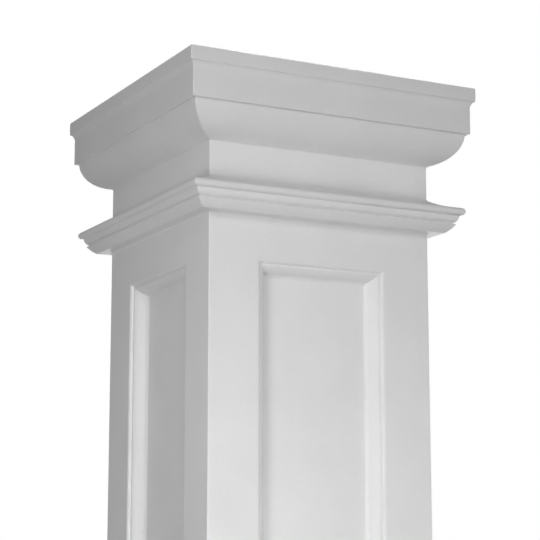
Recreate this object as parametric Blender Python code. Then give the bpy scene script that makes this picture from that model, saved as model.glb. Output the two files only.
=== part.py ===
# Square panelled column of painted joinery: a hollow shaft of four mitred sides, each with one
# recessed panel, under a crown moulding and a neck moulding, on a plain moulded base.
# Metres, +Z up. The origin is under the middle of the column, and the front face looks along -Y.

import bpy
import bmesh
from math import asin, copysign, cos, hypot, pi, sin, sqrt
from mathutils import Matrix

# Whole column
COLUMN_HEIGHT = 2.438
SHAFT_WIDTH = 0.295

# Shaft sides: a raised frame of stiles and rails on a backing, one solid to a side
BACKING_THICKNESS = 0.0127
RECESS_DEPTH = 0.019
STILE_WIDTH = 0.0625
PANEL_REVEAL = 0.050

# Gap between pieces that touch
GAP = 0.0003

# Crown moulding, from its top down: fillet, cove, fascia, drip and ovolo
CROWN_FILLET_HEIGHT = 0.017
CROWN_COVE_HEIGHT = 0.010
CROWN_FASCIA_HEIGHT = 0.0307
CROWN_OVOLO_HEIGHT = 0.0369
CROWN_OVOLO_REACH = 0.035
CROWN_DRIP = 0.0047
CROWN_COVE_REACH = 0.0039
CROWN_FILLET_STEP = 0.0014
CROWN_OVOLO_BOW = 0.0092
CROWN_COVE_BOW = 0.0013

# Plain stretch of shaft between the crown and the neck moulding
NECKING_HEIGHT = 0.0427

# Neck moulding, from its top down: wash, nose, band, quirk and small ovolo
NECK_WASH_HEIGHT = 0.0119
NECK_NOSE_HEIGHT = 0.0093
NECK_BAND_HEIGHT = 0.0081
NECK_QUIRK_HEIGHT = 0.0016
NECK_OVOLO_HEIGHT = 0.0108
NECK_FOOT_REACH = 0.0156
NECK_OVOLO_REACH = 0.0102
NECK_QUIRK_DEPTH = 0.0012
NECK_BAND_SLOPE = 0.0028
NECK_NOSE_STEP = 0.0014
NECK_NOSE_BOW = 0.0043
NECK_WASH_BOW = 0.0030
NECK_BAND_BOW = 0.0006
NECK_OVOLO_BOW = 0.0015

# Panel moulding, from the frame inwards: bead, flat, ogee and foot
PANEL_BEAD = 0.0039
PANEL_FLAT = 0.0026
PANEL_OGEE_ROUND_WIDTH = 0.0075
PANEL_OGEE_ROUND_DEPTH = 0.0103
PANEL_OGEE_HOLLOW_WIDTH = 0.0040
PANEL_OGEE_HOLLOW_DEPTH = 0.0041
PANEL_OGEE_ROUND_BOW = 0.0011
PANEL_OGEE_HOLLOW_BOW = 0.0007

# Base moulding, from its foot up: fillet, cove, upper fillet and wash
BASE_FILLET_HEIGHT = 0.009
BASE_COVE_HEIGHT = 0.026
BASE_TOP_FILLET_HEIGHT = 0.007
BASE_WASH_HEIGHT = 0.003
BASE_TOP_REACH = 0.008
BASE_COVE_REACH = 0.0235
BASE_FILLET_STEP = 0.0015
BASE_COVE_BOW = 0.0065

# Plinth boards
PLINTH_HEIGHT = 0.190
PLINTH_THICKNESS = 0.038
PLINTH_EASE = 0.004

# How finely the curves are faceted
CURVE_STEPS = 8

# Sizes that follow from the ones above
HALF_SHAFT = SHAFT_WIDTH / 2
WALL = BACKING_THICKNESS + RECESS_DEPTH
MITRE_GAP = GAP / sqrt(2)
CROWN_HEIGHT = CROWN_FILLET_HEIGHT + CROWN_COVE_HEIGHT + CROWN_FASCIA_HEIGHT + CROWN_OVOLO_HEIGHT
NECK_HEIGHT = (NECK_WASH_HEIGHT + NECK_NOSE_HEIGHT + NECK_BAND_HEIGHT
               + NECK_QUIRK_HEIGHT + NECK_OVOLO_HEIGHT)
BASE_HEIGHT = BASE_FILLET_HEIGHT + BASE_COVE_HEIGHT + BASE_TOP_FILLET_HEIGHT + BASE_WASH_HEIGHT
NECK_TOP = COLUMN_HEIGHT - CROWN_HEIGHT - NECKING_HEIGHT
PANEL_TOP = NECK_TOP - NECK_HEIGHT - PANEL_REVEAL
PANEL_FOOT = PLINTH_HEIGHT + BASE_HEIGHT + PANEL_REVEAL
PANEL_MIDDLE = (PANEL_TOP + PANEL_FOOT) / 2
HALF_PANEL_WIDTH = HALF_SHAFT - STILE_WIDTH
HALF_PANEL_HEIGHT = (PANEL_TOP - PANEL_FOOT) / 2

SIDES = ("front", "right", "back", "left")
PANEL_EDGES = ("top", "right", "bottom", "left")


# Scene and materials

def clear_scene():
    for item in list(bpy.data.objects):
        bpy.data.objects.remove(item, do_unlink=True)


def new_collection(name):
    collection = bpy.data.collections.new(name)
    bpy.context.scene.collection.children.link(collection)
    return collection


def paint(name, shade, roughness):
    material = bpy.data.materials.new(name)
    material.use_nodes = True
    shader = material.node_tree.nodes["Principled BSDF"]
    shader.inputs["Base Color"].default_value = (shade, shade, shade, 1)
    shader.inputs["Roughness"].default_value = roughness
    shader.inputs["Metallic"].default_value = 0
    return material


# Outlines

def bowed(start, end, rise):
    # Points of a round arc from start to end. A positive rise bows to the left of the way it runs,
    # which is outwards for an outline that runs down a moulding's face.
    chord_x = end[0] - start[0]
    chord_y = end[1] - start[1]
    chord = hypot(chord_x, chord_y)
    bow = abs(rise)
    radius = (chord * chord / 4 + bow * bow) / (2 * bow)
    half_turn = asin(chord / (2 * radius))
    middle_x = (start[0] + end[0]) / 2
    middle_y = (start[1] + end[1]) / 2
    points = []
    for step in range(CURVE_STEPS + 1):
        turn = half_turn * (2 * step / CURVE_STEPS - 1)
        along = radius * sin(turn) / chord
        aside = copysign(radius * (cos(turn) - cos(half_turn)), rise) / chord
        points.append((middle_x + chord_x * along - chord_y * aside,
                       middle_y + chord_y * along + chord_x * aside))
    return points


def quarter_round(size):
    # The panel moulding's bead, from the frame's face down into the recess.
    points = []
    for step in range(CURVE_STEPS + 1):
        turn = pi / 2 * step / CURVE_STEPS
        points.append((GAP + (size - GAP) * sin(turn), -size * (1 - cos(turn))))
    return points


def crown_outline():
    # Reach from the shaft face, and height under the column's top.
    fascia_reach = CROWN_OVOLO_REACH + CROWN_DRIP
    cove_reach = fascia_reach + CROWN_COVE_REACH
    fillet_reach = cove_reach + CROWN_FILLET_STEP
    cove_top = -CROWN_FILLET_HEIGHT
    fascia_top = cove_top - CROWN_COVE_HEIGHT
    fascia_foot = fascia_top - CROWN_FASCIA_HEIGHT
    outline = [(GAP, 0), (fillet_reach, 0), (fillet_reach, cove_top)]
    outline += bowed((cove_reach, cove_top), (fascia_reach, fascia_top), -CROWN_COVE_BOW)
    outline.append((fascia_reach, fascia_foot))
    outline += bowed((CROWN_OVOLO_REACH, fascia_foot), (GAP, -CROWN_HEIGHT), CROWN_OVOLO_BOW)
    return outline


def neck_outline():
    # Reach from the shaft face, and height under the moulding's top.
    ovolo_reach = NECK_FOOT_REACH + NECK_OVOLO_REACH
    band_reach = ovolo_reach + NECK_BAND_SLOPE
    nose_reach = band_reach + NECK_NOSE_STEP
    nose_top = -NECK_WASH_HEIGHT
    band_top = nose_top - NECK_NOSE_HEIGHT
    quirk_top = band_top - NECK_BAND_HEIGHT
    ovolo_top = quirk_top - NECK_QUIRK_HEIGHT
    outline = bowed((GAP, 0), (nose_reach, nose_top), -NECK_WASH_BOW)
    outline += bowed((nose_reach, nose_top), (nose_reach, band_top), NECK_NOSE_BOW)[1:]
    outline += bowed((band_reach, band_top), (ovolo_reach, quirk_top), NECK_BAND_BOW)
    outline.append((ovolo_reach - NECK_QUIRK_DEPTH, (quirk_top + ovolo_top) / 2))
    outline += bowed((ovolo_reach, ovolo_top), (NECK_FOOT_REACH, -NECK_HEIGHT), NECK_OVOLO_BOW)
    outline.append((GAP, -NECK_HEIGHT))
    return outline


def base_outline():
    # Reach from the shaft face, and height above the moulding's foot.
    cove_foot_reach = BASE_TOP_REACH + BASE_COVE_REACH
    fillet_reach = cove_foot_reach + BASE_FILLET_STEP
    cove_top = BASE_FILLET_HEIGHT + BASE_COVE_HEIGHT
    wash_foot = cove_top + BASE_TOP_FILLET_HEIGHT
    outline = [(GAP, BASE_HEIGHT), (BASE_TOP_REACH, wash_foot)]
    outline += bowed((BASE_TOP_REACH, cove_top), (cove_foot_reach, BASE_FILLET_HEIGHT), -BASE_COVE_BOW)
    outline += [(fillet_reach, BASE_FILLET_HEIGHT), (fillet_reach, GAP), (GAP, GAP)]
    return outline


def plinth_outline():
    # Reach from the shaft face, and height above the ground.
    return [(GAP, PLINTH_HEIGHT), (PLINTH_THICKNESS - PLINTH_EASE, PLINTH_HEIGHT),
            (PLINTH_THICKNESS, PLINTH_HEIGHT - PLINTH_EASE), (PLINTH_THICKNESS, 0), (GAP, 0)]


def panel_outline():
    # Distance in from the opening's edge, and height over the shaft face, so less than nothing.
    flat_end = PANEL_BEAD + PANEL_FLAT
    round_end = flat_end + PANEL_OGEE_ROUND_WIDTH
    foot_end = round_end + PANEL_OGEE_HOLLOW_WIDTH
    round_foot = -PANEL_BEAD - PANEL_OGEE_ROUND_DEPTH
    hollow_foot = round_foot - PANEL_OGEE_HOLLOW_DEPTH
    back = GAP - RECESS_DEPTH
    outline = quarter_round(PANEL_BEAD)
    outline += bowed((flat_end, -PANEL_BEAD), (round_end, round_foot), PANEL_OGEE_ROUND_BOW)
    outline += bowed((round_end, round_foot), (foot_end, hollow_foot), -PANEL_OGEE_HOLLOW_BOW)[1:]
    outline += [(foot_end, back), (GAP, back)]
    return outline


# Solids

def extruded(name, outline, length):
    # A closed flat outline drawn as a 2D curve and extruded to both sides, made a mesh.
    curve = bpy.data.curves.new(name, "CURVE")
    curve.dimensions = "2D"
    curve.fill_mode = "BOTH"
    curve.extrude = length / 2
    spline = curve.splines.new("POLY")
    spline.points.add(len(outline) - 1)
    for point, place in zip(spline.points, outline):
        point.co = (place[0], place[1], 0, 1)
    spline.use_cyclic_u = True
    guide = bpy.data.objects.new(name + "_guide", curve)
    bpy.context.scene.collection.objects.link(guide)
    bpy.context.view_layer.update()
    evaluated = guide.evaluated_get(bpy.context.evaluated_depsgraph_get())
    mesh = bpy.data.meshes.new_from_object(evaluated)
    mesh.name = name
    bpy.data.objects.remove(guide, do_unlink=True)
    bpy.data.curves.remove(curve)
    return mesh


def tidy(mesh):
    # One closed body with its faces pointing out.
    body = bmesh.new()
    body.from_mesh(mesh)
    bmesh.ops.remove_doubles(body, verts=body.verts, dist=1e-6)
    bmesh.ops.recalc_face_normals(body, faces=body.faces)
    body.to_mesh(mesh)
    body.free()


def mitred_length(name, outline, reach, placing):
    # A moulding run along X. The outline gives its distance from the middle of the frame that it
    # belongs to, and its height. Its ends are cut at 45 degrees, reach past that distance.
    mesh = extruded(name, outline, 2 * SHAFT_WIDTH)
    for corner in mesh.vertices:
        distance, height, side = corner.co
        corner.co = (copysign(distance + reach - MITRE_GAP, side), -distance, height)
    mesh.transform(placing)
    tidy(mesh)
    return mesh


def place(name, mesh, material, collection, side):
    item = bpy.data.objects.new(name, mesh)
    item.rotation_euler.z = SIDES.index(side) * pi / 2
    collection.objects.link(item)
    if not mesh.materials:
        mesh.materials.append(material)
    return item


def shaft_side(side, material, parts, cutters):
    # A board the full height of the column, mitred at both edges and sunk in the middle.
    outer = HALF_SHAFT - MITRE_GAP
    inner = outer - WALL
    plan = [(-outer, -HALF_SHAFT), (outer, -HALF_SHAFT),
            (inner, WALL - HALF_SHAFT), (-inner, WALL - HALF_SHAFT)]
    mesh = extruded("shaft_side_" + side, plan, COLUMN_HEIGHT)
    mesh.transform(Matrix.Translation((0, 0, COLUMN_HEIGHT / 2)))
    tidy(mesh)
    board = place("shaft_side_" + side, mesh, material, parts, side)
    cutter = panel_cutter(side, cutters)
    recess = board.modifiers.new("panel recess", "BOOLEAN")
    recess.operation = "DIFFERENCE"
    recess.solver = "EXACT"
    recess.object = cutter


def panel_cutter(side, cutters):
    # A box that stands out of the shaft face as far as it sinks into it.
    bpy.ops.mesh.primitive_cube_add(size=1)
    cutter = bpy.context.active_object
    cutter.name = "panel_cutter_" + side
    cutter.data.transform(Matrix.Diagonal((2 * HALF_PANEL_WIDTH, 2 * RECESS_DEPTH, 2 * HALF_PANEL_HEIGHT, 1)))
    cutter.data.transform(Matrix.Translation((0, -HALF_SHAFT, PANEL_MIDDLE)))
    cutter.rotation_euler.z = SIDES.index(side) * pi / 2
    cutter.hide_render = True
    cutter.display_type = "WIRE"
    for owner in list(cutter.users_collection):
        owner.objects.unlink(cutter)
    cutters.objects.link(cutter)
    return cutter


def mouldings_round_shaft(name, outline, level, material, parts):
    # Four mitred lengths that meet at the corners of the shaft.
    section = [(HALF_SHAFT + reach, level + height) for reach, height in outline]
    mesh = mitred_length(name, section, 0, Matrix.Identity(4))
    for side in SIDES:
        place(name + "_" + side, mesh, material, parts, side)


def panel_mouldings(material, parts):
    # Four mitred strips inside each recess. The strips' frame is turned to face along -Y.
    face_on = Matrix.Rotation(-pi / 2, 4, "X")
    onto_shaft = Matrix.Translation((0, -HALF_SHAFT, PANEL_MIDDLE))
    for number, edge in enumerate(PANEL_EDGES):
        upright = number % 2 == 1
        own_half = HALF_PANEL_WIDTH if upright else HALF_PANEL_HEIGHT
        other_half = HALF_PANEL_HEIGHT if upright else HALF_PANEL_WIDTH
        section = [(own_half - across, -height) for across, height in panel_outline()]
        turned = Matrix.Rotation(number * pi / 2, 4, "Y")
        placing = onto_shaft @ turned @ face_on
        mesh = mitred_length("panel_moulding_" + edge, section, other_half - own_half, placing)
        for side in SIDES:
            place("panel_moulding_" + side + "_" + edge, mesh, material, parts, side)


def build_column():
    clear_scene()
    parts = new_collection("square_column")
    cutters = new_collection("cutters")
    shaft_paint = paint("white paint on the shaft", 0.80, 0.45)
    panel_paint = paint("white paint on the panel mouldings", 0.81, 0.42)
    crown_paint = paint("white paint on the crown", 0.79, 0.45)
    neck_paint = paint("white paint on the neck moulding", 0.79, 0.44)
    base_paint = paint("white paint on the base moulding", 0.78, 0.46)
    plinth_paint = paint("white paint on the plinth", 0.77, 0.48)
    for side in SIDES:
        shaft_side(side, shaft_paint, parts, cutters)
    panel_mouldings(panel_paint, parts)
    mouldings_round_shaft("crown_moulding", crown_outline(), COLUMN_HEIGHT, crown_paint, parts)
    mouldings_round_shaft("neck_moulding", neck_outline(), NECK_TOP, neck_paint, parts)
    mouldings_round_shaft("base_moulding", base_outline(), PLINTH_HEIGHT, base_paint, parts)
    mouldings_round_shaft("plinth_board", plinth_outline(), 0, plinth_paint, parts)


build_column()
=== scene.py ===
# Square panelled column of painted joinery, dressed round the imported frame.
# Sizes in the dictionaries are in millimetres unless a note says otherwise.
from math import ceil, copysign, cos, hypot, pi, radians, sin, tan

import bmesh
import bpy
from mathutils import Matrix, Vector


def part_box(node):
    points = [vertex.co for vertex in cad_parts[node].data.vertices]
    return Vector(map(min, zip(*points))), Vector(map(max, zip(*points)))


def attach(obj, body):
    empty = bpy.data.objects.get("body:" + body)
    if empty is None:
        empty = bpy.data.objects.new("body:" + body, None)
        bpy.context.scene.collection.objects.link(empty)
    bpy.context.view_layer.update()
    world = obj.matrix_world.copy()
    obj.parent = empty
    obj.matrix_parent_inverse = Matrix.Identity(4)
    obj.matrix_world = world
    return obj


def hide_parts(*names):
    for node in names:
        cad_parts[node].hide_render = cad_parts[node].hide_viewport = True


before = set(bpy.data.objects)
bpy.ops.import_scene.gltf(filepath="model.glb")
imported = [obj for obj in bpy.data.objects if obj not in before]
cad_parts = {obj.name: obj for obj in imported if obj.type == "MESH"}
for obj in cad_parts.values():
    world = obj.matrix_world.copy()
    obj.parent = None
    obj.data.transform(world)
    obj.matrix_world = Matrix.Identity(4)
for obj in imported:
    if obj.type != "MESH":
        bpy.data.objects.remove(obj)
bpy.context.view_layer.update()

mm = 0.001
sideNames = ("front", "right", "back", "left")
edgeNames = ("top", "right", "bottom", "left")
touchGap = 0.3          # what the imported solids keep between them
paintedGap = 0.02       # what is left of it under paint


# Sizes read from the frame

def millimetres(node):
    low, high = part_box(node)
    return low / mm, high / mm


boardLow, boardHigh = millimetres("shaft_side_front")
halfShaft = -boardLow.y
wallThickness = boardHigh.y - boardLow.y
columnHeight = boardHigh.z
stripLow, stripHigh = millimetres("panel_moulding_front_left")
halfOpening = -stripLow.x + touchGap
recessDepth = stripHigh.y - stripLow.y + touchGap
openingTop = millimetres("panel_moulding_front_top")[1].z + touchGap
openingFoot = millimetres("panel_moulding_front_bottom")[0].z - touchGap
openingMiddle = (openingTop + openingFoot) / 2
halfOpeningHeight = (openingTop - openingFoot) / 2
print("frame read: shaft", round(2 * halfShaft, 1), "mm wide,", round(columnHeight, 1), "mm high")


# Nodes and colours

def addNode(tree, kind, settings, feeds):
    # One node: its settings, then what goes into its sockets, by name or by number.
    node = tree.nodes.new(kind)
    for name, value in settings.items():
        setattr(node, name, value)
    for socket, value in feeds.items():
        if isinstance(value, bpy.types.NodeSocket):
            tree.links.new(value, node.inputs[socket])
        else:
            node.inputs[socket].default_value = value
    return node


def linearColour(hexText):
    parts = [int(hexText[start:start + 2], 16) / 255 for start in (1, 3, 5)]
    return tuple(c / 12.92 if c <= 0.04045 else ((c + 0.055) / 1.055) ** 2.4 for c in parts) + (1,)


def newMaterial(name):
    material = bpy.data.materials.new(name)
    material.use_nodes = True
    material.node_tree.nodes.clear()
    return material, material.node_tree


def finishMaterial(tree, shader):
    addNode(tree, "ShaderNodeOutputMaterial", {}, {"Surface": shader.outputs["BSDF"]})


# Eggshell enamel over primed softwood, rolled on and laid off with a brush along each moulding. The eye
# sees an even white with a low sheen, a faint stipple and hair-fine brush lines that follow the run.
paintFinish = {
    "light": "#ECECEC",
    "dark": "#E6E6E6",
    "speckShare": 0.35,     # how much of the tone follows the stipple, and the rest the clouds
    "noiseLow": 0.3,        # the middle part of a noise, which is spread over the whole range
    "noiseHigh": 0.7,
    "roughness": 0.58,
    "roughnessSpread": 0.08,
    "ior": 1.5,
    "cloudSize": 70,        # wide patches where the paint film is thicker
    "stippleSize": 4.2,     # roller stipple, drawn coarser than the real one so that it shows
    "stippleHeight": 0.11,
    "brushWidth": 1.4,      # one brush line, drawn coarser than a bristle's for the same reason
    "brushLength": 160,
    "brushHeight": 0.030,
    "sagSize": 22,          # slow unevenness of boards under the paint
    "sagHeight": 0.10,
}


def paintNodes(name, stipple, brush, runMap):
    finish = paintFinish
    material, tree = newMaterial(name)
    place = addNode(tree, "ShaderNodeTexCoord", {}, {}).outputs["Object"]
    clouds = addNode(tree, "ShaderNodeTexNoise", {}, {
        "Vector": place, "Scale": 1 / (finish["cloudSize"] * mm), "Detail": 2, "Roughness": 0.45})
    specks = addNode(tree, "ShaderNodeTexNoise", {}, {
        "Vector": place, "Scale": 1 / (finish["stippleSize"] * mm), "Detail": 2, "Roughness": 0.6})
    sag = addNode(tree, "ShaderNodeTexNoise", {}, {
        "Vector": place, "Scale": 1 / (finish["sagSize"] * mm), "Detail": 1, "Roughness": 0.4})
    if runMap:
        along = addNode(tree, "ShaderNodeUVMap", {"uv_map": "run"}, {}).outputs["UV"]
        lineScale = (1 / (finish["brushLength"] * mm), 1 / (finish["brushWidth"] * mm), 1)
    else:
        along = place       # boards are laid off up and down
        lineScale = (1 / (finish["brushWidth"] * mm),) * 2 + (1 / (finish["brushLength"] * mm),)
    runs = addNode(tree, "ShaderNodeMapping", {"vector_type": "POINT"}, {
        "Vector": along, "Scale": lineScale})
    lines = addNode(tree, "ShaderNodeTexNoise", {}, {
        "Vector": runs.outputs["Vector"], "Scale": 1, "Detail": 3, "Roughness": 0.55})
    tone = addNode(tree, "ShaderNodeMix", {"data_type": "FLOAT"}, {
        0: finish["speckShare"], 2: clouds.outputs["Fac"], 3: specks.outputs["Fac"]})
    colour = addNode(tree, "ShaderNodeValToRGB", {}, {"Fac": tone.outputs[0]})
    colour.color_ramp.elements[0].position = finish["noiseLow"]
    colour.color_ramp.elements[0].color = linearColour(finish["dark"])
    colour.color_ramp.elements[1].position = finish["noiseHigh"]
    colour.color_ramp.elements[1].color = linearColour(finish["light"])
    gloss = addNode(tree, "ShaderNodeMapRange", {}, {
        "Value": lines.outputs["Fac"], "From Min": finish["noiseLow"], "From Max": finish["noiseHigh"],
        "To Min": finish["roughness"] - finish["roughnessSpread"] / 2,
        "To Max": finish["roughness"] + finish["roughnessSpread"] / 2})
    slow = addNode(tree, "ShaderNodeBump", {}, {
        "Height": sag.outputs["Fac"], "Distance": finish["sagHeight"] * mm, "Strength": 1})
    brushed = addNode(tree, "ShaderNodeBump", {}, {
        "Height": lines.outputs["Fac"], "Distance": brush * finish["brushHeight"] * mm, "Strength": 1,
        "Normal": slow.outputs["Normal"]})
    rolled = addNode(tree, "ShaderNodeBump", {}, {
        "Height": specks.outputs["Fac"], "Distance": stipple * finish["stippleHeight"] * mm,
        "Strength": 1, "Normal": brushed.outputs["Normal"]})
    shader = addNode(tree, "ShaderNodeBsdfPrincipled", {}, {
        "Base Color": colour.outputs["Color"], "Roughness": gloss.outputs["Result"],
        "IOR": finish["ior"], "Normal": rolled.outputs["Normal"]})
    finishMaterial(tree, shader)
    return material


# Bare planed pine on the inner faces and sawn ends: pale straw with darker late wood, in lines along
# the boards and in arcs on the ends.
pineFinish = {
    "early": "#DDBF92",
    "late": "#B98F5C",
    "roughness": 0.72,
    "ior": 1.45,
    "ringWidth": 4.5,
    "latePeak": 0.86,           # where in a ring the late wood is darkest, and where it ends
    "lateEnd": 0.97,
    "pithAway": (90, -60),      # how far off the middle the heart of the tree lies
    "waver": 9,
    "waverAcross": 120,
    "waverAlong": 700,
    "fibreWidth": 0.8,
    "fibreLength": 60,
    "fibreHeight": 0.05,
}


def pineNodes(name):
    finish = pineFinish
    material, tree = newMaterial(name)
    place = addNode(tree, "ShaderNodeTexCoord", {}, {}).outputs["Object"]
    drawnScale = (1 / (finish["waverAcross"] * mm),) * 2 + (1 / (finish["waverAlong"] * mm),)
    drawn = addNode(tree, "ShaderNodeMapping", {}, {"Vector": place, "Scale": drawnScale})
    waver = addNode(tree, "ShaderNodeTexNoise", {}, {
        "Vector": drawn.outputs["Vector"], "Scale": 1, "Detail": 2})
    pith = addNode(tree, "ShaderNodeMapping", {}, {
        "Vector": place, "Location": (finish["pithAway"][0] * mm, finish["pithAway"][1] * mm, 0),
        "Scale": (1, 1, 0)})
    away = addNode(tree, "ShaderNodeVectorMath", {"operation": "LENGTH"}, {0: pith.outputs["Vector"]})
    bent = addNode(tree, "ShaderNodeMath", {"operation": "MULTIPLY_ADD"}, {
        0: waver.outputs["Fac"], 1: finish["waver"] * mm, 2: away.outputs["Value"]})
    turns = addNode(tree, "ShaderNodeMath", {"operation": "DIVIDE"}, {
        0: bent.outputs["Value"], 1: finish["ringWidth"] * mm})
    ring = addNode(tree, "ShaderNodeMath", {"operation": "FRACT"}, {0: turns.outputs["Value"]})
    colour = addNode(tree, "ShaderNodeValToRGB", {}, {"Fac": ring.outputs["Value"]})
    ramp = colour.color_ramp.elements
    ramp[0].color = linearColour(finish["early"])
    ramp[1].position = finish["lateEnd"]
    ramp[1].color = linearColour(finish["early"])
    late = ramp.new(finish["latePeak"])
    late.color = linearColour(finish["late"])
    fibreScale = (1 / (finish["fibreWidth"] * mm),) * 2 + (1 / (finish["fibreLength"] * mm),)
    fibres = addNode(tree, "ShaderNodeMapping", {}, {"Vector": place, "Scale": fibreScale})
    fuzz = addNode(tree, "ShaderNodeTexNoise", {}, {
        "Vector": fibres.outputs["Vector"], "Scale": 1, "Detail": 3})
    relief = addNode(tree, "ShaderNodeBump", {}, {
        "Height": fuzz.outputs["Fac"], "Distance": finish["fibreHeight"] * mm, "Strength": 1})
    shader = addNode(tree, "ShaderNodeBsdfPrincipled", {}, {
        "Base Color": colour.outputs["Color"], "Roughness": finish["roughness"],
        "IOR": finish["ior"], "Normal": relief.outputs["Normal"]})
    finishMaterial(tree, shader)
    return material


boardPaint = paintNodes("eggshellEnamelOnBoards", stipple=1.0, brush=0.5, runMap=False)
mouldingPaint = paintNodes("brushedEggshellEnamelOnMouldings", stipple=0.6, brush=1.0, runMap=True)
barePine = pineNodes("planedPine")
print("materials made")


# Outlines are lists of (across, up, ease): ease is the radius that paint and sanding give that arris

def bowed(start, end, rise, steps=24):
    # A round arc. A positive rise bows to the left of the way it runs.
    alongX, alongY = end[0] - start[0], end[1] - start[1]
    chord = hypot(alongX, alongY)
    radius = (chord * chord / 4 + rise * rise) / (2 * abs(rise))
    depth = radius - abs(rise)
    halfTurn = pi / 2 - Vector((chord / 2, depth)).angle(Vector((1, 0))) if depth > 0 else pi / 2
    points = []
    for step in range(steps + 1):
        turn = halfTurn * (2 * step / steps - 1)
        along = radius * sin(turn) / chord
        aside = copysign(radius * cos(turn) - depth, rise) / chord
        points.append(((start[0] + end[0]) / 2 + alongX * along - alongY * aside,
                       (start[1] + end[1]) / 2 + alongY * along + alongX * aside, 0))
    return points


def eased(outline, longFlat=3.0, support=0.4, reachShare=0.45, stepAngle=16):
    # Rounds each arris that has a radius, with a support point on the flat beside it, which keeps
    # the flat evenly lit. A rounding takes at most its share of the edge on either side.
    points = []
    for number, (across, up, radius) in enumerate(outline):
        here = Vector((across, up))
        if radius == 0:
            points.append(here)
            continue
        before = Vector(outline[number - 1][:2]) - here
        after = Vector(outline[(number + 1) % len(outline)][:2]) - here
        half = before.angle(after) / 2
        reach = min(radius / tan(half), reachShare * before.length, reachShare * after.length)
        radius = reach * tan(half)
        towards = (before.normalized() + after.normalized()).normalized()
        centre = here + towards * radius / sin(half)
        start = here + before.normalized() * reach
        end = here + after.normalized() * reach
        if before.length > longFlat:
            points.append(start + before.normalized() * support)
        steps = max(2, ceil((pi - 2 * half) / radians(stepAngle)))
        for step in range(steps + 1):
            swing = (start - centre).slerp(end - centre, step / steps).normalized()
            points.append(centre + swing * radius)
        if after.length > longFlat:
            points.append(end + after.normalized() * support)
    return points


# Geometry Nodes: a mitred length of moulding swept from its outline

mitreSettings = {
    "cornerSteps": 4,
    "support": 0.5,
}


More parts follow.
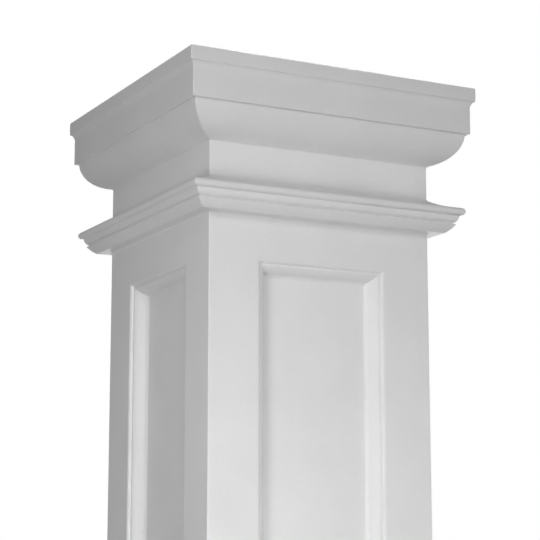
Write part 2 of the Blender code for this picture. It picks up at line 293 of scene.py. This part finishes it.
def mitredLengthTree():
    tree = bpy.data.node_groups.new("mitredLength", "GeometryNodeTree")
    sockets = tree.interface
    sockets.new_socket("Profile", in_out="INPUT", socket_type="NodeSocketGeometry")
    for name in ("Reach Past Distance", "Joint Gap", "Corner Ease", "Support"):
        sockets.new_socket(name, in_out="INPUT", socket_type="NodeSocketFloat")
    sockets.new_socket("Corner Steps", in_out="INPUT", socket_type="NodeSocketInt")
    sockets.new_socket("Finish", in_out="INPUT", socket_type="NodeSocketMaterial")
    sockets.new_socket("Moulding", in_out="OUTPUT", socket_type="NodeSocketGeometry")
    given = addNode(tree, "NodeGroupInput", {}, {}).outputs

    def sums(operation, first, second=0.0, third=0.0):
        return addNode(tree, "ShaderNodeMath", {"operation": operation},
                       {0: first, 1: second, 2: third}).outputs[0]

    # The profile keeps its own points: across is the distance from the frame's middle, up the height
    profilePlace = addNode(tree, "GeometryNodeInputPosition", {}, {}).outputs[0]
    outline = addNode(tree, "GeometryNodeMeshToCurve", {}, {"Mesh": given["Profile"]})
    keptProfile = tree.nodes.new("GeometryNodeCaptureAttribute")
    keptProfile.capture_items.new("VECTOR", "Outline")
    keptProfile.capture_items.new("FLOAT", "Length")
    around = addNode(tree, "GeometryNodeSplineParameter", {}, {}).outputs["Length"]
    tree.links.new(outline.outputs[0], keptProfile.inputs[0])
    tree.links.new(profilePlace, keptProfile.inputs["Outline"])
    tree.links.new(around, keptProfile.inputs["Length"])

    # The run is a line of stations: two by the middle, then the turn into each mitre
    stationsEachSide = sums("ADD", given["Corner Steps"], 2.0)
    count = sums("MULTIPLY", stationsEachSide, 2.0)
    line = addNode(tree, "GeometryNodeMeshLine", {}, {"Count": count, "Offset": (0, 0, mm)})
    keptRun = tree.nodes.new("GeometryNodeCaptureAttribute")
    keptRun.capture_items.new("FLOAT", "Station")
    tree.links.new(line.outputs[0], keptRun.inputs[0])
    tree.links.new(addNode(tree, "GeometryNodeInputIndex", {}, {}).outputs[0], keptRun.inputs["Station"])
    run = addNode(tree, "GeometryNodeMeshToCurve", {}, {"Mesh": keptRun.outputs[0]})
    swept = addNode(tree, "GeometryNodeCurveToMesh", {}, {
        "Curve": run.outputs[0], "Profile Curve": keptProfile.outputs[0], "Fill Caps": True})

    # Each station's turn goes from nothing to 45 degrees at the mitre
    fromMiddle = sums("SUBTRACT", keptRun.outputs["Station"], sums("SUBTRACT", stationsEachSide, 0.5))
    sign = sums("SIGN", fromMiddle)
    rank = sums("SUBTRACT", sums("ABSOLUTE", fromMiddle), 0.5)
    share = sums("DIVIDE", sums("MAXIMUM", sums("SUBTRACT", rank, 1.0), 0.0), given["Corner Steps"])
    turn = sums("MULTIPLY", share, pi / 4)
    inset = sums("MULTIPLY", sums("LESS_THAN", rank, 0.5), given["Support"])
    lostAlong = sums("MULTIPLY", given["Corner Ease"], sums("SUBTRACT", 1.0, sums("SINE", turn)))
    lostOut = sums("MULTIPLY", given["Corner Ease"], sums("SUBTRACT", 1.0, sums("COSINE", turn)))
    split = addNode(tree, "ShaderNodeSeparateXYZ", {}, {0: keptProfile.outputs["Outline"]})
    distance, height = split.outputs["X"], split.outputs["Y"]
    halfRun = sums("SUBTRACT", sums("ADD", distance, given["Reach Past Distance"]), given["Joint Gap"])
    halfRun = sums("SUBTRACT", sums("SUBTRACT", halfRun, lostAlong), inset)
    along = sums("MULTIPLY", halfRun, sign)
    out = sums("SUBTRACT", lostOut, distance)
    place = addNode(tree, "ShaderNodeCombineXYZ", {}, {"X": along, "Y": out, "Z": height})
    shaped = addNode(tree, "GeometryNodeSetPosition", {}, {
        "Geometry": swept.outputs[0], "Position": place.outputs[0]})
    runPlace = addNode(tree, "ShaderNodeCombineXYZ", {}, {
        "X": along, "Y": keptProfile.outputs["Length"]})
    mapped = addNode(tree, "GeometryNodeStoreNamedAttribute", {
        "data_type": "FLOAT2", "domain": "CORNER"}, {
        "Geometry": shaped.outputs[0], "Name": "run", "Value": runPlace.outputs[0]})
    whole = addNode(tree, "GeometryNodeRealizeInstances", {}, {0: mapped.outputs[0]})
    painted = addNode(tree, "GeometryNodeSetMaterial", {}, {
        "Geometry": whole.outputs[0], "Material": given["Finish"]})
    addNode(tree, "NodeGroupOutput", {}, {0: painted.outputs[0]})
    return tree


def loopMesh(name, points):
    # A closed loop of edges in the XY plane, in metres.
    mesh = bpy.data.meshes.new(name)
    mesh.from_pydata([(p.x * mm, p.y * mm, 0) for p in points],
                     [(number, (number + 1) % len(points)) for number in range(len(points))], [])
    return mesh


def setInputs(modifier, values):
    for item in modifier.node_group.interface.items_tree:
        if item.item_type == "SOCKET" and item.in_out == "INPUT" and item.name in values:
            modifier[item.identifier] = values[item.name]


def cleaned(mesh, sharpAngle=40, mergeWithin=0.001):
    # Doubles merged, faces outward, flats flat and curves smooth.
    body = bmesh.new()
    body.from_mesh(mesh)
    bmesh.ops.remove_doubles(body, verts=body.verts, dist=mergeWithin * mm)
    bmesh.ops.recalc_face_normals(body, faces=body.faces)
    body.to_mesh(mesh)
    body.free()
    mesh.shade_smooth()
    mesh.set_sharp_from_angle(angle=radians(sharpAngle))
    return mesh


def evaluatedMesh(item):
    bpy.context.view_layer.update()
    return bpy.data.meshes.new_from_object(item.evaluated_get(bpy.context.evaluated_depsgraph_get()))


mitredLength = mitredLengthTree()


def sweptMesh(name, outline, reachPast, cornerEase):
    # The tree's result as a plain mesh. The guide object that carried the modifier goes away.
    guide = bpy.data.objects.new(name + "Guide", loopMesh(name + "Outline", outline))
    bpy.context.scene.collection.objects.link(guide)
    sweep = guide.modifiers.new("mitred length", "NODES")
    sweep.node_group = mitredLength
    setInputs(sweep, {
        "Reach Past Distance": reachPast * mm,
        "Joint Gap": paintedGap * mm,
        "Corner Ease": cornerEase * mm,
        "Support": mitreSettings["support"] * mm,
        "Corner Steps": mitreSettings["cornerSteps"],
        "Finish": mouldingPaint,
    })
    mesh = evaluatedMesh(guide)
    bpy.data.objects.remove(guide, do_unlink=True)
    return cleaned(mesh)


pieces = {}


def placePiece(name, mesh, node):
    mesh.name = name
    item = bpy.data.objects.new(name, mesh)
    bpy.context.scene.collection.objects.link(item)
    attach(item, "root")
    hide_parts(node)
    pieces[name] = item
    return item


def turnedMesh(mesh, side):
    turned = mesh.copy()
    turned.transform(Matrix.Rotation(sideNames.index(side) * pi / 2, 4, "Z"))
    return turned


def mouldingsRoundShaft(pieceName, nodeName, outline, level, cornerEase):
    # Four mitred lengths that meet at the shaft's corners.
    placed = [(halfShaft + across, level + up, ease) for across, up, ease in outline]
    mesh = sweptMesh(pieceName, eased(placed), 0, cornerEase)
    for side in sideNames:
        placePiece(pieceName + side.capitalize(), turnedMesh(mesh, side), nodeName + "_" + side)
    bpy.data.meshes.remove(mesh)


# Crown moulding, from its top down: fillet, cove, fascia, drip and ovolo

crown = {
    "fillet": 17.0,
    "filletBow": 0.4,
    "filletSteps": 6,
    "filletStep": 1.4,
    "cove": 10.0,
    "coveReach": 3.9,
    "coveBow": 1.3,
    "fascia": 30.7,
    "drip": 4.7,
    "ovoloBow": 9.2,
    "arris": 1.2,
    "innerCorner": 1.0,
    "cornerEase": 1.3,
    "caulk": 0.9,           # bead of filler where the ovolo meets the shaft
}


def crownOutline():
    low, high = millimetres("crown_moulding_front")
    height = high.z - low.z
    filletReach = -low.y - halfShaft
    coveReach = filletReach - crown["filletStep"]
    fasciaReach = coveReach - crown["coveReach"]
    ovoloReach = fasciaReach - crown["drip"]
    coveTop = -crown["fillet"]
    fasciaTop = coveTop - crown["cove"]
    fasciaFoot = fasciaTop - crown["fascia"]
    arris, inner = crown["arris"], crown["innerCorner"]
    filletEdge = filletReach - crown["filletBow"]
    filletArc = bowed((filletEdge, 0), (filletEdge, coveTop), crown["filletBow"], crown["filletSteps"])
    outline = [(0, 0, 0), (filletEdge, 0, arris)] + filletArc[1:-1] + [(filletEdge, coveTop, arris)]
    coveArc = bowed((coveReach, coveTop), (fasciaReach, fasciaTop), -crown["coveBow"])
    outline += [(coveReach, coveTop, inner)] + coveArc[1:]
    outline += [(fasciaReach, fasciaFoot, arris), (ovoloReach, fasciaFoot, inner)]
    ovoloArc = bowed((ovoloReach, fasciaFoot), (0, -height), crown["ovoloBow"])
    outline += ovoloArc[1:-1]
    outline += [(0, -height - crown["caulk"], 0)]
    return outline


mouldingsRoundShaft("crownMoulding", "crown_moulding", crownOutline(), columnHeight,
                    crown["cornerEase"])
print("crown made")


# Neck moulding, from its top down: wash, nose, band, quirk and small ovolo

neck = {
    "wash": 11.9,
    "washBow": 1.6,
    "nose": 9.3,
    "noseBow": 4.3,
    "noseStep": 1.4,
    "band": 7.1,
    "bandSlope": 2.8,
    "bandBow": 0.6,
    "bandSteps": 4,
    "quirk": 3.2,
    "quirkDepth": 3.8,
    "ovoloReach": 10.2,
    "ovoloBow": 0.7,
    "ovoloSteps": 6,
    "footReach": 15.6,
    "arris": 1.0,
    "quirkFloor": 0.9,      # the hollow's floor above the ovolo's top edge
    "quirkEase": 0.4,
    "innerCorner": 0.8,
    "cornerEase": 1.1,
    "caulk": 1.4,
}


def neckOutline():
    low, high = millimetres("neck_moulding_front")
    height = high.z - low.z
    ovoloReach = neck["footReach"] + neck["ovoloReach"]
    bandReach = ovoloReach + neck["bandSlope"]
    noseReach = bandReach + neck["noseStep"]
    noseTop = -neck["wash"]
    bandTop = noseTop - neck["nose"]
    quirkTop = bandTop - neck["band"]
    ovoloTop = quirkTop - neck["quirk"]
    arris = neck["arris"]
    outline = [(0, neck["caulk"], 0)]
    outline += bowed((0, 0), (noseReach, noseTop), -neck["washBow"])[1:-1]
    outline += bowed((noseReach, noseTop), (noseReach, bandTop), neck["noseBow"])
    bandArc = bowed((bandReach, bandTop), (ovoloReach, quirkTop), neck["bandBow"], neck["bandSteps"])
    outline += [(bandReach, bandTop, neck["innerCorner"])] + bandArc[1:-1]
    outline += [(ovoloReach, quirkTop, neck["quirkEase"]),
                (ovoloReach - neck["quirkDepth"], ovoloTop + neck["quirkFloor"], neck["quirkEase"]),
                (ovoloReach, ovoloTop, neck["quirkEase"])]
    ovoloArc = bowed((ovoloReach, ovoloTop), (neck["footReach"], -height),
                     neck["ovoloBow"], neck["ovoloSteps"])
    outline += ovoloArc[1:-1]
    outline += [(neck["footReach"], -height, arris), (neck["caulk"], -height, 0),
                (0, -height - neck["caulk"], 0)]
    return outline


neckTop = millimetres("neck_moulding_front")[1].z
mouldingsRoundShaft("neckMoulding", "neck_moulding", neckOutline(), neckTop,
                    neck["cornerEase"])
print("neck moulding made")


# Base moulding, from its foot up: fillet, cove, upper fillet and wash

base = {
    "fillet": 9.0,
    "filletStep": 1.5,
    "cove": 26.0,
    "coveReach": 23.5,
    "coveBow": 6.5,
    "topFillet": 7.0,
    "topReach": 8.0,
    "washDrop": 0.2,        # the wash starts this far down, at the edge of its filler bead
    "arris": 0.6,
    "innerCorner": 0.5,
    "cornerEase": 1.0,
    "caulk": 0.8,
}


def baseOutline():
    low, high = millimetres("base_moulding_front")
    foot = low.z
    height = high.z - foot
    filletReach = -low.y - halfShaft
    coveFootReach = filletReach - base["filletStep"]
    coveFoot = base["fillet"] - touchGap
    coveTop = coveFoot + base["cove"]
    washFoot = coveTop + base["topFillet"]
    arris, inner = base["arris"], base["innerCorner"]
    outline = [(0, height + base["caulk"], 0), (base["caulk"], height - base["washDrop"], 0),
               (base["topReach"], washFoot, arris), (base["topReach"], coveTop, arris)]
    outline += bowed((base["topReach"], coveTop), (coveFootReach, coveFoot), -base["coveBow"])[1:-1]
    outline += [(coveFootReach, coveFoot, inner), (filletReach, coveFoot, arris),
                (filletReach, 0, inner), (0, 0, 0)]
    return outline


baseFoot = millimetres("base_moulding_front")[0].z
mouldingsRoundShaft("baseMoulding", "base_moulding", baseOutline(), baseFoot,
                    base["cornerEase"])
print("base moulding made")


# Plinth boards

plinth = {
    "ease": 4.0,
    "arris": 1.0,
    "footArris": 0.8,
    "cornerEase": 1.4,
}


def plinthOutline():
    low, high = millimetres("plinth_board_front")
    thick = -low.y - halfShaft
    height = high.z
    ease, arris = plinth["ease"], plinth["arris"]
    return [(0, height, 0), (thick - ease, height, arris), (thick, height - ease, arris),
            (thick, 0, plinth["footArris"]), (0, 0, 0)]


mouldingsRoundShaft("plinthBoard", "plinth_board", plinthOutline(), 0,
                    plinth["cornerEase"])
print("plinth made")


# Panel mouldings, from the frame inwards: bead, flat, ogee and foot

strip = {
    "bead": 3.9,
    "beadSteps": 10,
    "flat": 2.6,
    "roundWidth": 7.5,
    "roundDepth": 10.3,
    "roundBow": 1.1,
    "roundSteps": 14,
    "hollowWidth": 4.0,
    "hollowDepth": 4.1,
    "hollowBow": 0.7,
    "hollowSteps": 10,
    "innerCorner": 0.4,
    "footEase": 0.3,
    "cornerEase": 0.5,
}


def stripOutline():
    # Distance in from the opening's edge, and height over the shaft's face, so less than nothing.
    bead = strip["bead"]
    flatEnd = bead + strip["flat"]
    roundEnd = flatEnd + strip["roundWidth"]
    footEnd = roundEnd + strip["hollowWidth"]
    roundFoot = -bead - strip["roundDepth"]
    hollowFoot = roundFoot - strip["hollowDepth"]
    back = -recessDepth + paintedGap
    beadTurns = [pi / 2 * step / strip["beadSteps"] for step in range(strip["beadSteps"])]
    outline = [(paintedGap + (bead - paintedGap) * sin(turn), -bead * (1 - cos(turn)), 0)
               for turn in beadTurns]
    outline += [(bead, -bead, strip["innerCorner"]), (flatEnd, -bead, strip["innerCorner"])]
    outline += bowed((flatEnd, -bead), (roundEnd, roundFoot), strip["roundBow"], strip["roundSteps"])[1:]
    outline += bowed((roundEnd, roundFoot), (footEnd, hollowFoot),
                     -strip["hollowBow"], strip["hollowSteps"])[1:-1]
    outline += [(footEnd, hollowFoot, strip["footEase"]), (footEnd, back, 0), (paintedGap, back, 0)]
    return outline


def panelStrips():
    # Four mitred strips in each recess. They are made flat, then turned to face along -Y.
    faceOn = Matrix.Rotation(-pi / 2, 4, "X")
    ontoShaft = Matrix.Translation((0, -halfShaft * mm, openingMiddle * mm))
    for number, edge in enumerate(edgeNames):
        upright = number % 2 == 1
        ownHalf = halfOpening if upright else halfOpeningHeight
        otherHalf = halfOpeningHeight if upright else halfOpening
        section = [(ownHalf - across, -up, ease) for across, up, ease in stripOutline()]
        outline = eased(section, longFlat=2.0, support=0.3)
        mesh = sweptMesh("panelStrip", outline, otherHalf - ownHalf, strip["cornerEase"])
        mesh.transform(ontoShaft @ Matrix.Rotation(number * pi / 2, 4, "Y") @ faceOn)
        for side in sideNames:
            placePiece("panelMoulding" + side.capitalize() + edge.capitalize(), turnedMesh(mesh, side),
                       "panel_moulding_" + side + "_" + edge)
        bpy.data.meshes.remove(mesh)


panelStrips()
print("panel mouldings made")


# Shaft sides: mitred boards, full height, sunk in the middle

shaft = {
    "cornerEase": 1.3,
    "cornerSteps": 4,
    "support": 0.6,
    "endBand": 10,          # flat faces this near an end are its sawn face
    "sameDepth": 0.01,      # faces this near the inner face's depth are the inner face
}


def shaftPlan():
    ease = shaft["cornerEase"]
    outer = halfShaft - paintedGap
    inner = outer - wallThickness
    corner = []
    for step in range(shaft["cornerSteps"] + 1):
        turn = pi / 4 * (1 - step / shaft["cornerSteps"])
        corner.append((outer - ease * (1 - sin(turn)), ease * (1 - cos(turn)) - halfShaft))
    corner.append((outer - ease - shaft["support"], -halfShaft))
    rightHalf = corner + [(inner, wallThickness - halfShaft)]
    leftHalf = [(-across, deep) for across, deep in corner]
    return leftHalf + rightHalf[:-1][::-1] + [rightHalf[-1], (-inner, wallThickness - halfShaft)]


def shaftBoard():
    # The plan is extruded to the full height, and the recess is cut with a box.
    body = bmesh.new()
    corners = [body.verts.new((across * mm, deep * mm, 0)) for across, deep in shaftPlan()]
    foot = body.faces.new(corners)
    lifted = bmesh.ops.extrude_face_region(body, geom=[foot])["geom"]
    raised = [part for part in lifted if isinstance(part, bmesh.types.BMVert)]
    bmesh.ops.translate(body, verts=raised, vec=(0, 0, columnHeight * mm))
    bmesh.ops.recalc_face_normals(body, faces=body.faces)
    mesh = bpy.data.meshes.new("shaftBoard")
    body.to_mesh(mesh)
    body.free()
    board = bpy.data.objects.new("shaftBoardGuide", mesh)
    bpy.context.scene.collection.objects.link(board)
    bpy.ops.mesh.primitive_cube_add(size=2)
    cutter = bpy.context.active_object
    cutter.data.transform(Matrix.Diagonal((halfOpening * mm, recessDepth * mm, halfOpeningHeight * mm, 1)))
    cutter.data.transform(Matrix.Translation((0, -halfShaft * mm, openingMiddle * mm)))
    recess = board.modifiers.new("recess", "BOOLEAN")
    recess.operation = "DIFFERENCE"
    recess.solver = "EXACT"
    recess.object = cutter
    cut = evaluatedMesh(board)
    bpy.data.objects.remove(board, do_unlink=True)
    bpy.data.objects.remove(cutter, do_unlink=True)
    return cleaned(cut)


def paintBoard(mesh):
    # Painted outside, in the recess and on the hidden mitres, bare pine inside and on the sawn ends.
    mesh.materials.clear()
    mesh.materials.append(boardPaint)
    mesh.materials.append(barePine)
    innerFace = wallThickness - halfShaft
    for face in mesh.polygons:
        depth, height = face.center.y / mm, face.center.z / mm
        nearEnd = not shaft["endBand"] < height < columnHeight - shaft["endBand"]
        sawnEnd = abs(face.normal.z) > 0.9 and nearEnd
        onInnerFace = abs(depth - innerFace) < shaft["sameDepth"]
        face.material_index = 1 if sawnEnd or onInnerFace else 0


def shaftSides():
    mesh = shaftBoard()
    paintBoard(mesh)
    for side in sideNames:
        placePiece("shaftSide" + side.capitalize(), turnedMesh(mesh, side),
                   "shaft_side_" + side)
    bpy.data.meshes.remove(mesh)


shaftSides()
print("shaft made")


# Studio: pale floor, soft lights, and the camera at the photo's angle

studio = {
    "floorSize": 40000,
    "floorDrop": 0.2,       # keeps the floor just clear of the column's foot
    "floorColour": "#D0D0D0",
    "floorRoughness": 0.7,
    "floorGlow": 0.5,       # lifts the floor where it is seen, without more light on the column
    "gritSize": 6,
    "gritHeight": 0.05,
    "backdrop": "#FFFFFF",
    "ambient": 0.19,
}


def studioFloor():
    material, tree = newMaterial("mattStudioFloor")
    place = addNode(tree, "ShaderNodeTexCoord", {}, {}).outputs["Object"]
    grit = addNode(tree, "ShaderNodeTexNoise", {}, {
        "Vector": place, "Scale": 1 / (studio["gritSize"] * mm), "Detail": 2})
    relief = addNode(tree, "ShaderNodeBump", {}, {
        "Height": grit.outputs["Fac"], "Distance": studio["gritHeight"] * mm, "Strength": 1})
    rays = addNode(tree, "ShaderNodeLightPath", {}, {})
    glow = addNode(tree, "ShaderNodeMath", {"operation": "MULTIPLY"}, {
        0: rays.outputs["Is Camera Ray"], 1: studio["floorGlow"]})
    shader = addNode(tree, "ShaderNodeBsdfPrincipled", {}, {
        "Base Color": linearColour(studio["floorColour"]), "Roughness": studio["floorRoughness"],
        "Normal": relief.outputs["Normal"], "Emission Color": linearColour(studio["backdrop"]),
        "Emission Strength": glow.outputs[0]})
    finishMaterial(tree, shader)
    bpy.ops.mesh.primitive_plane_add(
        size=studio["floorSize"] * mm, location=(0, 0, -studio["floorDrop"] * mm))
    floor = bpy.context.active_object
    floor.name = "studioFloor"
    floor.data.materials.append(material)


def studioWorld():
    # White where the camera sees it, and a low even light on everything else.
    world = bpy.data.worlds.new("studio")
    world.use_nodes = True
    bpy.context.scene.world = world
    tree = world.node_tree
    tree.nodes.clear()
    white = linearColour(studio["backdrop"])
    seen = addNode(tree, "ShaderNodeBackground", {}, {"Color": white, "Strength": 1})
    cast = addNode(tree, "ShaderNodeBackground", {}, {"Color": white, "Strength": studio["ambient"]})
    rays = addNode(tree, "ShaderNodeLightPath", {}, {})
    mixed = addNode(tree, "ShaderNodeMixShader", {}, {
        0: rays.outputs["Is Camera Ray"], 1: cast.outputs[0], 2: seen.outputs[0]})
    addNode(tree, "ShaderNodeOutputWorld", {}, {"Surface": mixed.outputs[0]})


# Each softbox stands turn degrees round from the front face, rightwards, and aims at a height on the
# column's middle line. Power is in watts and spread, the width of its beam, in degrees.
softboxes = {
    "high": {"turn": -20, "away": 2100, "height": 2900, "aim": 2100,
             "side": 900, "spread": 100, "watts": 3.45},
    "left": {"turn": -50, "away": 1400, "height": 1800, "aim": 2100,
             "side": 400, "spread": 100, "watts": 2.1},
    "right": {"turn": 70, "away": 2300, "height": 2000, "aim": 2100,
              "side": 800, "spread": 100, "watts": 2.25},
    "low": {"turn": -5, "away": 2100, "height": 1200, "aim": 1500,
            "side": 500, "spread": 50, "watts": 1.45},
    "foot": {"turn": -30, "away": 2700, "height": 900, "aim": 350,
             "side": 800, "spread": 50, "watts": 2.2},
    "back": {"turn": 150, "away": 2800, "height": 1900, "aim": 1300,
             "side": 1200, "spread": 90, "watts": 17},
    "top": {"turn": 0, "away": 1, "height": 4700, "aim": 2438,
            "side": 300, "spread": 30, "watts": 1.5},
}


def softbox(name, setup):
    light = bpy.data.lights.new(name, "AREA")
    light.shape = "SQUARE"
    light.size = setup["side"] * mm
    light.spread = radians(setup["spread"])
    light.energy = setup["watts"]
    turn = radians(setup["turn"])
    place = Vector((setup["away"] * sin(turn), -setup["away"] * cos(turn), setup["height"])) * mm
    target = Vector((0, 0, setup["aim"])) * mm
    item = bpy.data.objects.new(name + "Softbox", light)
    item.location = place
    item.rotation_euler = (target - place).to_track_quat("-Z", "Y").to_euler()
    item.visible_camera = False
    bpy.context.scene.collection.objects.link(item)


cameraSetup = {
    "place": (-936, -1815, 1862.5),
    "lens": 110,
    "sensor": 36,
    "turn": 27.46,          # degrees to the right of straight at the front face
    "tilt": 10.08,          # degrees up
}


def studioCamera():
    turn, tilt = radians(cameraSetup["turn"]), radians(cameraSetup["tilt"])
    sight = Vector((sin(turn) * cos(tilt), cos(turn) * cos(tilt), sin(tilt)))
    camera = bpy.data.cameras.new("camera")
    camera.lens = cameraSetup["lens"]
    camera.sensor_width = cameraSetup["sensor"]
    item = bpy.data.objects.new("camera", camera)
    item.location = Vector(cameraSetup["place"]) * mm
    item.rotation_euler = sight.to_track_quat("-Z", "Y").to_euler()
    bpy.context.scene.collection.objects.link(item)
    bpy.context.scene.camera = item


studioFloor()
studioWorld()
for name, setup in softboxes.items():
    softbox(name, setup)
studioCamera()
bpy.context.scene.view_settings.view_transform = "Standard"
print("studio set")

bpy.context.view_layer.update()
triangles = sum(len(face.vertices) - 2 for piece in pieces.values() for face in piece.data.polygons)
print("pieces:", len(pieces), "triangles:", triangles)
